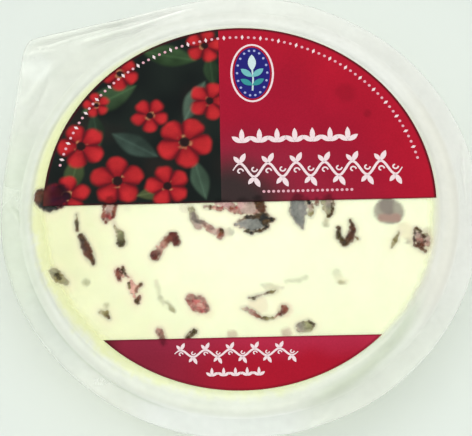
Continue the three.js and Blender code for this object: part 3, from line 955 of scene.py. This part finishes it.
def make_lid():
    """The top film: over the cheese, down the skirt and out over the flange."""
    angles = circle(480)
    rings, haze = [], []

    def add_face(radius):
        x, y = polar(radius, angles)
        rings.append(np.stack([x, y, film_level(x, y)], axis=1))
        haze.append(rim_haze(*from_print(x, y)))

    for radius in (*np.arange(1.5, 12, 1.5), *np.arange(12, 43, 0.74),
                   *np.arange(43.2, FLAT_RADIUS, 0.44)):
        add_face(radius)
    for lean in np.linspace(0.15, SKIRT_LEAN, 5):
        add_face(FLAT_RADIUS + SHOULDER_ROUNDING * math.sin(lean))
    pleats = side_noise(angles, 0, 1.1, 13) + 0.6 * side_noise(angles, 0, 0.5, 14)
    pleats = 0.13 * pleats * smooth(-0.2, 0.7, side_noise(angles, 0, 13, 15))
    steps = np.linspace(0, 1, SKIRT_STEPS + 1)[1:-1]
    for outward, ring in skirt_rings(angles, rings[-1], steps):
        ring[:, 2] += pleats * math.sin(PI * outward)
        rings.append(ring)
        haze.append(rim_haze(*from_print(ring[:, 0], ring[:, 1])))
    for outward, px, py, level in seal_rings(angles, flange_reach(angles), SEAL_STEPS, PEEL_LIFT):
        level = level + fold_height(px, py) + 0.05 * noise(px, py, 5, 18) * min(1, outward * 4)
        rings.append(placed(px, py, level))
        haze.append(seal_haze(px, py, outward))
    return shell("film_lid", rings, haze, 1)


def make_cup():
    """The formed film under and round the cheese, with its own layer of the flange."""
    angles = circle(400)
    rings, haze = [], []

    def add_ring(radius, level, milkiness):
        rings.append(np.stack([*polar(radius, angles), np.full(len(angles), level)], axis=1))
        haze.append(np.full(len(angles), milkiness))

    for radius in np.arange(2, FOOT_RADIUS, 2.5):
        add_ring(radius, 0, HAZE_FOOT)
    wall_foot = WALL_RADIUS - 0.03
    for lean in np.linspace(PI / 2, 0, 9):
        pleat = np.abs(0.12 * side_noise(angles, 0, 1.6, 19) * math.sin(2 * lean))
        radius = FOOT_RADIUS + (wall_foot - FOOT_RADIUS) * math.cos(lean) - pleat
        add_ring(radius, FOOT_ROUNDING * (1 - math.sin(lean)), HAZE_ROUNDING)
    for level in np.linspace(FOOT_ROUNDING + 0.6, WALL_TOP - 0.4, 8):
        share = (level - FOOT_ROUNDING) / (WALL_TOP - FOOT_ROUNDING)
        dent = 0.05 * (1 + side_noise(angles, level, 5, 21)) * math.sin(PI * share)
        add_ring(wall_foot + CUP_DRAFT * share - dent, level, HAZE_SIDE)
    wall_top = np.stack([*polar(CUP_RADIUS, angles), np.full(len(angles), WALL_TOP)], axis=1)
    steps = np.linspace(0, 1, CUP_SKIRT_STEPS + 1)[:-1]
    for outward, ring in skirt_rings(angles, wall_top, steps, CUP_DROP):
        rings.append(ring)
        haze.append(np.full(len(angles), 0.2 + 0.1 * outward))
    for outward, px, py, level in seal_rings(angles, flange_reach(angles) - CUP_SHORT,
                                             CUP_SEAL_STEPS, PEEL_LIFT * CUP_LIFT, CUP_DROP):
        level = level + np.minimum(fold_height(px, py), 0) - 0.05
        rings.append(placed(px, py, level))
        haze.append(seal_haze(px, py, outward) * 0.6)
    return shell("film_cup", rings, haze, -1)


# ---- The print ----

RED, BRIGHT_RED = (168, 18, 48), (190, 20, 44)
PLUM, SOOT = (140, 38, 62), (54, 46, 46)
EDGE_DARK = linear((84, 22, 34))
PRINT_SHADE = 0.7  # of the print's tones, as no film lies over them
PICTURE_EDGE = -4.2  # where the red field starts
PRINT_OVERLAP = 0.2  # of the picture under the red field
CROWDING = 1.5  # of a field's columns towards an end that lies on the arc


def field_tint(x, y):
    """The red of the larger field, sooty towards the lower left corner."""
    bright = 0.6 * smooth(26, 44, np.hypot(x, y)) + 0.1 * noise(x, y, 9, 41)
    tint = tinge(linear(RED), BRIGHT_RED, bright)
    tint = tinge(tint, PLUM, 0.45 * smooth(20, 6, np.hypot((x - 8) / 1.6, y - 2)))
    away = np.hypot((x - PICTURE_EDGE) / 1.25, y + 1)
    tint = tinge(tint, PLUM, 0.6 * smooth(24, 10, away))
    tint = tinge(tint, SOOT, 0.97 * smooth(15, 6, away + 1.2 * noise(x, y, 7, 42)))
    return scaled(tint, 1 + 0.05 * noise(x, y, 8, 43) + 0.03 * noise(x, y, 3, 44))


def lower_tint(x, y):
    """The red of the smaller field, plum at the left and along its straight edge."""
    near_chord = 0.8 * smooth(-39, -33, y + 0.8 * noise(x, y, 5, 45))
    tint = tinge(linear((176, 18, 44)), (186, 44, 76), near_chord)
    tint = tinge(tint, (132, 34, 58), 0.85 * smooth(4, -22, x))
    tint = tinge(tint, (84, 24, 28), 0.8 * smooth(-26, -31, x))
    return scaled(tint, 1 + 0.05 * noise(x, y, 5, 46))


def lens_depth(x, y, cx, cy, length, width, angle):
    """How deep a place lies in a leaf's outline, as a share of its half width, and where along."""
    dx, dy = x - cx, y - cy
    along = (dx * math.cos(angle) + dy * math.sin(angle)) / (length / 2)
    across = (-dx * math.sin(angle) + dy * math.cos(angle)) / (width / 2)
    half = np.maximum(1 - np.abs(along) ** 1.7, 0)
    return half - np.abs(across), along, across


# Broad leaves of the picture: x, y, length, width, turn in degrees, tone
LEAVES = [
    (-30, 27, 15, 6.5, 28, (57, 79, 53)), (-16, 38, 14, 6.0, -12, (50, 72, 45)),
    (-10, 26, 12, 5.2, 64, (74, 91, 79)), (-24, 15, 13, 5.5, 150, (52, 67, 60)),
    (-38, 8, 11, 5.0, 78, (64, 77, 48)), (-9, 6, 11, 4.6, 105, (62, 81, 67)),
    (-33, 19, 10, 4.2, 100, (41, 57, 43)), (-19, 3, 10, 4.2, 10, (72, 79, 50)),
    (-6, 34, 9, 4.0, 96, (43, 62, 41)),
]
# Blossoms of the picture: x, y, radius, turn in degrees
BLOSSOMS = [
    (-36.5, 15, 5.6, 40), (-12.5, 15.5, 6.4, 62), (-28, 6.0, 6.0, 20), (-7.5, 40.5, 4.4, 5),
    (-27.5, 33.5, 4.2, 50), (-39.5, 2.5, 5.0, 15), (-16.5, 4.5, 5.0, 33), (-6.5, 26.0, 4.8, 70),
    (-20.5, 22.5, 4.2, 55), (-33.0, 25.5, 3.0, 30),
]


def picture_tint(x, y):
    """A dark ground with broad leaves and five-petalled red blossoms."""
    tint = tinge(linear((15, 20, 21)), (34, 43, 38), 0.35 + 0.35 * noise(x, y, 6, 51))
    tint = tinge(tint, (50, 36, 33), 0.35 * smooth(0.1, 0.9, noise(x, y, 9, 52)))
    for *place, turn, tone in LEAVES:
        depth, along, across = lens_depth(x, y, *place, math.radians(turn))
        vein = np.exp(-(across / 0.1) ** 2) * 0.5
        leaf = scaled(linear(tone), 1 + 0.35 * across + 0.25 * noise(x, y, 2.2, 53) + vein)
        tint = blend(tint, leaf, smooth(-0.1, 0.3, depth) * smooth(1.05, 0.9, np.abs(along)))
    for cx, cy, radius, turn in BLOSSOMS:
        dx, dy = x - cx, y - cy
        away, angle = np.hypot(dx, dy), np.arctan2(dy, dx) - math.radians(turn)
        outward = away / radius
        petal = np.abs(np.cos(2.5 * angle))
        rim = radius * (0.66 + 0.34 * petal ** 0.6) * (1 + 0.05 * noise(x, y, 1.5, 54))
        bright = smooth(0.2, 0.95, petal) * smooth(0.1, 0.7, outward)
        red = tinge(linear((140, 20, 32)), (196, 40, 46), bright)
        red = scaled(red, 1 + 0.16 * noise(x, y, 2.0, 55))
        red = tinge(red, (92, 18, 28), 0.8 * smooth(0.5, 0.05, petal) * (away < rim))
        red = tinge(red, (40, 22, 24), smooth(0.24, 0.16, outward))
        ring = np.exp(-((outward - 0.24) / 0.05) ** 2)
        red = tinge(red, (228, 170, 120), 0.5 * ring * smooth(0.0, 0.6, noise(x, y, 0.7, 56)))
        tint = blend(tint, red, smooth(-0.6, 0.6, rim - away))
    return tint


def arc_edge(tint, x, y, chord, above):
    """The tint with a dark line along the arc and the chord, and darker over fruit."""
    rim = smooth(PRINT_RADIUS - 0.75, PRINT_RADIUS - 0.3, np.hypot(x, y))
    tint = blend(tint, EDGE_DARK * 0.6, (0.8 if above else 0.35) * rim)
    tint = blend(tint, EDGE_DARK, 0.45 * smooth(0.5, 0.1, np.abs(y - chord)))
    depth, _ = fruit_field(FIRM[1:], x, y)
    tint = scaled(tint, 1 - 0.55 * smooth(-0.5, 0.9, depth))
    depth, _ = fruit_field(FIRM[:1], x, y)
    bruise = tinge(linear((50, 14, 34)), (96, 46, 42), smooth(-42.5, -45, x))
    bruise = tinge(bruise, (34, 14, 26), smooth(2.2, 0.6, np.hypot(x + 41.0, y - 4.2)))
    bruise = scaled(bruise, 1 + 0.45 * noise(x, y, 1.6, 48))
    tint = blend(tint, bruise, 0.94 * smooth(-0.8, 0.7, depth))
    for cx, cy, radius, share in ((25.4, 27.2, 3.2, 0.16), (30.2, 21.6, 1.4, 0.2)):
        away = np.hypot(x - cx, y - cy) + 0.4 * noise(x, y, 1.5, 47)
        tint = scaled(tint, 1 - share * smooth(radius, radius * 0.4, away))
    return tint


def printed_field(name, x_low, x_high, chord, columns, rows, tint_of, spread, layer=0):
    """A thin closed sheet between a chord and the print's arc. spread takes even steps from 0
    to 1 and crowds them towards the ends that lie on the arc."""
    above = chord == UPPER_CHORD
    xs = x_low + (x_high - x_low) * spread(np.linspace(0, 1, columns))
    far = np.sqrt(np.maximum(PRINT_RADIUS ** 2 - xs ** 2, chord ** 2)) * (1 if above else -1)
    x = np.repeat(xs, rows)
    y = (chord + (far[:, None] - chord) * np.linspace(0, 1, rows)).ravel()
    tint = arc_edge(tint_of(x, y), x, y, chord, above) * PRINT_SHADE
    level = film_level(x + CENTRE[0], y + CENTRE[1]) + LIFT + layer * INK
    top = placed(x, y, level)
    index = np.arange(len(top)).reshape(columns, rows)
    a = index[:-1, :-1].ravel()
    quads = np.stack([a, a + rows, a + rows + 1, a + 1], axis=1)
    loop = np.concatenate([index[:, 0], index[-1, 1:], index[-2::-1, -1], index[0, -2:0:-1]])
    if not above:
        quads, loop = quads[:, ::-1], loop[::-1]
    after = np.roll(loop, -1)
    walls = np.stack([loop, loop + len(top), after + len(top), after], axis=1)
    faces = [*quads, *(quads[:, ::-1] + len(top)), *walls]
    points = np.concatenate([top, top - (0, 0, INK)])
    return add_mesh(name, points, faces, tint=np.concatenate([tint, tint]))


# ---- Ornament on the print ----

def leaf_outline(x, y, length, width, turn, steps=10):
    """A pointed leaf from its foot at x, y."""
    t = np.linspace(0, 1, steps)
    half = width / 2 * np.sin(PI * t) ** 0.8
    along = np.concatenate([t * length, t[::-1][1:-1] * length])
    across = np.concatenate([-half, half[::-1][1:-1]])
    c, s = math.cos(turn), math.sin(turn)
    return np.stack([x + along * c - across * s, y + along * s + across * c], axis=1)


def oval_outline(x, y, radius_x, radius_y, steps=20, turn=0.0):
    t = np.arange(steps) / steps * 2 * PI
    u, v = radius_x * np.cos(t), radius_y * np.sin(t)
    return np.stack([x + u * math.cos(turn) - v * math.sin(turn),
                     y + u * math.sin(turn) + v * math.cos(turn)], axis=1)


class Ornament:
    """Flat shapes on the print, gathered into one mesh."""

    def __init__(self):
        self.points, self.faces, self.tints = [], [], []
        self.count = 0

    def _take(self, points, faces, tone):
        self.points.append(points)
        self.faces += [np.asarray(face) + self.count for face in faces]
        self.tints.append(np.broadcast_to(linear(tone) * PRINT_SHADE, (len(points), 3)))
        self.count += len(points)

    def _lift(self, outline, layer):
        x, y = (outline + CENTRE).T
        return np.stack([x, y, film_level(x, y) + LIFT * (1 + layer)], axis=1)

    def shape(self, outline, tone, layer=1):
        top = self._lift(outline, layer)
        n = len(top)
        k = np.arange(n)
        after = (k + 1) % n
        walls = np.stack([k, k + n, after + n, after], axis=1)
        self._take(np.concatenate([top, top - (0, 0, INK)]),
                   [k, (k + n)[::-1], *walls], tone)

    def stroke(self, path, widths, tone, layer=1, closed=False):
        """A line of varying width along a path."""
        path = np.asarray(path, float)
        along = np.gradient(path, axis=0)
        if closed:
            along = np.roll(path, -1, axis=0) - np.roll(path, 1, axis=0)
        along /= np.linalg.norm(along, axis=1, keepdims=True)
        half = np.broadcast_to(widths, len(path))[:, None] / 2
        side = np.stack([-along[:, 1], along[:, 0]], axis=1) * half
        left, right = self._lift(path + side, layer), self._lift(path - side, layer)
        points = np.concatenate([left, right, left - (0, 0, INK), right - (0, 0, INK)])
        n = len(path)
        k = np.arange(n if closed else n - 1)
        after = (k + 1) % n
        faces = [*np.stack([n + k, n + after, after, k], axis=1),
                 *np.stack([2 * n + k, 2 * n + after, 3 * n + after, 3 * n + k], axis=1),
                 *np.stack([k, after, 2 * n + after, 2 * n + k], axis=1),
                 *np.stack([3 * n + k, 3 * n + after, n + after, n + k], axis=1)]
        if not closed:
            faces += [(0, 2 * n, 3 * n, n), (n - 1, 2 * n - 1, 4 * n - 1, 3 * n - 1)]
        self._take(points, faces, tone)

    def make(self, name):
        return add_mesh(name, np.concatenate(self.points), self.faces,
                        tint=np.concatenate(self.tints), flat=True)


PALE = (250, 226, 232)
PALE_ROSE = (236, 178, 192)


def bead_border(ornament):
    """Small beads with a lozenge after each two, along the larger field's arc."""
    radius, start, stop, count = 42.5, 166, 14, 79
    for k in range(count):
        angle = math.radians(start + (stop - start) * k / (count - 1))
        x, y = polar(radius, angle)
        if k % 3 == 1:
            ornament.shape(oval_outline(x, y, 0.66, 0.36, 4, angle), PALE)
        else:
            ornament.shape(oval_outline(x, y, 0.34, 0.34, 10), PALE_ROSE)


def vine(ornament, x_low, x_high, y, height, waves, thick, leaf, tone):
    """A waving stem with two leaves and a curl at each crest and trough."""
    share = np.linspace(0, 1, waves * 16)
    taper = smooth(0, 0.06, share) * smooth(0, 0.06, 1 - share)
    stem = [x_low + (x_high - x_low) * share, y + height / 2 * np.sin(share * waves * 2 * PI)]
    ornament.stroke(np.stack(stem, 1), thick * (0.4 + 0.6 * taper), tone)
    step = (x_high - x_low) / waves / 2
    for k in range(2 * waves):
        side = 1 if k % 2 == 0 else -1
        cx, cy = x_low + step * (k + 0.5), y + side * height / 2
        for size, width, turn in ((1, 0.42, 64), (0.8, 0.36, 128)):
            ornament.shape(leaf_outline(cx, cy, leaf * size, leaf * width,
                                        side * math.radians(turn)), tone)
        t = np.linspace(0, 1.5 * PI, 14)
        curl_x, curl_y = polar(leaf * 0.26 * (1 - t / 9), t)
        curl = np.stack([cx + curl_x, y - side * height * 0.08 + side * curl_y], 1)
        ornament.stroke(curl, thick * 0.6, tone)


def sprig_row(ornament, x_low, x_high, y, count, size, tone):
    """A row of small three-leaved sprigs with a bead between each two."""
    step = (x_high - x_low) / (count - 1)
    for k in range(count):
        x = x_low + step * k
        for turn in (90, 35, 145):
            length = size if turn == 90 else size * 0.8
            ornament.shape(leaf_outline(x, y - size * 0.4, length, size * 0.34,
                                        math.radians(turn), 8), tone)
        if k < count - 1:
            ornament.shape(oval_outline(x + step / 2, y - size * 0.1, size * 0.13, size * 0.13, 10),
                           tone)


def emblem(ornament, x, y):
    """An upright oval with a sprig of five leaves."""
    ornament.stroke(oval_outline(x, y, 4.9, 7.4, 40), 0.45, PALE, closed=True)
    ornament.shape(oval_outline(x, y, 4.2, 6.7, 36), (36, 34, 122))
    for dot_x, dot_y in oval_outline(x, y, 3.55, 5.9, 18):
        ornament.shape(oval_outline(dot_x, dot_y, 0.3, 0.3, 8), (176, 182, 228), 2)
    ornament.stroke([(x, y - 4.6), (x + 0.2, y - 1.5), (x, y + 1.4)], 0.4, (206, 226, 230), 2)
    ornament.shape(leaf_outline(x, y + 0.6, 4.2, 1.9, math.radians(90)), (214, 232, 236), 3)
    for side in (1, -1):
        ornament.shape(leaf_outline(x, y - 1.0, 3.4, 1.5, math.radians(90 - side * 52)),
                       (120, 190, 196), 3)
        ornament.shape(leaf_outline(x, y - 3.2, 3.2, 1.4, math.radians(90 - side * 60)),
                       (60, 150, 156), 3)


def make_upper_ornament():
    ornament = Ornament()
    bead_border(ornament)
    emblem(ornament, 3.6, 33.0)
    sprig_row(ornament, 0.8, 25.4, 16.4, 7, 3.6, PALE)
    vine(ornament, -1.4, 37.6, 8.0, 3.4, 6, 0.6, 2.9, PALE)
    for k in range(19):
        ornament.shape(oval_outline(5.6 + k * 1.12, 2.6, 0.36, 0.36, 8), PALE_ROSE)
    return ornament.make("ornament_upper")


def make_lower_ornament():
    ornament = Ornament()
    vine(ornament, -15.2, 12.2, -36.2, 1.6, 5, 0.45, 1.9, PALE)
    sprig_row(ornament, -7.0, 3.4, -40.8, 5, 2.0, PALE)
    return ornament.make("ornament_lower")


# ---- Camera, light and floor ----

CAMERA_TARGET = np.array([-0.934 + CENTRE[0], -3.862 + CENTRE[1], TOP_LEVEL])
CAMERA_ELEVATION = math.radians(67.314)
CAMERA_ROLL = math.radians(-1.245)
CAMERA_DISTANCE = 450
LENS_PX = 1974.05
FRAME_PX = 472
SENSOR = 36
FLOOR_TONE = (203, 207, 204)
SKY_LOW, SKY_HIGH = 2.1, 0.9  # strength of the soft light near the floor and overhead


def make_camera():
    back = Vector((0, -math.cos(CAMERA_ELEVATION), math.sin(CAMERA_ELEVATION)))
    level_right = Vector((1, 0, 0))
    level_up = back.cross(level_right)
    right = level_right * math.cos(CAMERA_ROLL) + level_up * math.sin(CAMERA_ROLL)
    up = level_up * math.cos(CAMERA_ROLL) - level_right * math.sin(CAMERA_ROLL)
    data = bpy.data.cameras.new("camera")
    data.sensor_width = SENSOR
    data.sensor_fit = "HORIZONTAL"
    data.lens = LENS_PX / FRAME_PX * SENSOR
    data.clip_start = 0.01
    camera = bpy.data.objects.new("camera", data)
    place = (Vector(CAMERA_TARGET) + back * CAMERA_DISTANCE) * MM
    rotation = Matrix((right, up, back)).transposed().to_4x4()
    camera.matrix_world = Matrix.Translation(place) @ rotation
    scene.collection.objects.link(camera)
    scene.camera = camera


def add_light(name, place, size, watts, tone):
    data = bpy.data.lights.new(name, "AREA")
    data.size = size * MM
    data.energy = watts
    data.color = linear(tone)
    lamp = bpy.data.objects.new(name, data)
    lamp.location = Vector(place) * MM
    lamp.rotation_euler = (-Vector(place)).to_track_quat("-Z", "Y").to_euler()
    scene.collection.objects.link(lamp)


def make_light():
    world = bpy.data.worlds.new("soft_white")
    world.use_nodes = True
    tree = world.node_tree
    place = tree.nodes.new("ShaderNodeTexCoord")
    split = tree.nodes.new("ShaderNodeSeparateXYZ")
    ramp = tree.nodes.new("ShaderNodeMapRange")
    tree.links.new(place.outputs["Generated"], split.inputs["Vector"])
    tree.links.new(split.outputs["Z"], ramp.inputs["Value"])
    ends = {"From Min": 0.1, "From Max": 0.75, "To Min": SKY_LOW, "To Max": SKY_HIGH}
    for name, value in ends.items():
        ramp.inputs[name].default_value = value
    ground = tree.nodes["Background"]
    ground.inputs["Color"].default_value = (*linear((250, 255, 250)), 1)
    tree.links.new(ramp.outputs["Result"], ground.inputs["Strength"])
    scene.world = world
    add_light("key", (-700, 520, 1500), 900, 5.9, (255, 254, 248))
    add_light("fill", (900, -300, 1350), 700, 3.0, (250, 255, 252))


def make_floor():
    half = 900
    points = [(-half, -half, 0), (half, -half, 0), (half, half, 0), (-half, half, 0)]
    floor = add_mesh("floor", points, [[0, 1, 2, 3]], flat=True)
    floor.data.materials.append(floor_material())


# ---- Assembly ----

def settle(piece, material, node):
    piece.data.materials.append(material)
    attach(piece, "root")
    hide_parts(node)


make_camera()
make_light()
make_floor()

clear_film = film_material("clear_film", 0.2)
cup_film = film_material("formed_film", 0.25)
fruit_finish = fruit_material()
print_finish = print_material()

settle(make_cheese(), cheese_material(), "sealed_pack")
for make in (make_top_fruit, make_side_fruit, make_foot_fruit):
    settle(make(), fruit_finish, "sealed_pack")
settle(make_lid(), clear_film, "sealed_pack")
settle(make_cup(), cup_film, "sealed_pack")

picture = printed_field("print_picture", -PRINT_RADIUS, PICTURE_EDGE + PRINT_OVERLAP,
                        UPPER_CHORD, 200, 190, picture_tint, lambda t: t ** CROWDING)
red_field = printed_field("print_red_field", PICTURE_EDGE, PRINT_RADIUS, UPPER_CHORD, 180, 130,
                          field_tint, lambda t: 1 - (1 - t) ** CROWDING, 1)
lower_end = math.sqrt(PRINT_RADIUS ** 2 - LOWER_CHORD ** 2)
lower_field = printed_field("print_lower_field", -lower_end, lower_end, LOWER_CHORD, 200, 50,
                            lower_tint, lambda t: (1 - np.cos(PI * t)) / 2)
settle(picture, print_finish, "label_upper")
settle(red_field, print_finish, "label_upper")
settle(lower_field, print_finish, "label_lower")
settle(make_upper_ornament(), print_finish, "label_upper")
settle(make_lower_ornament(), print_finish, "label_lower")
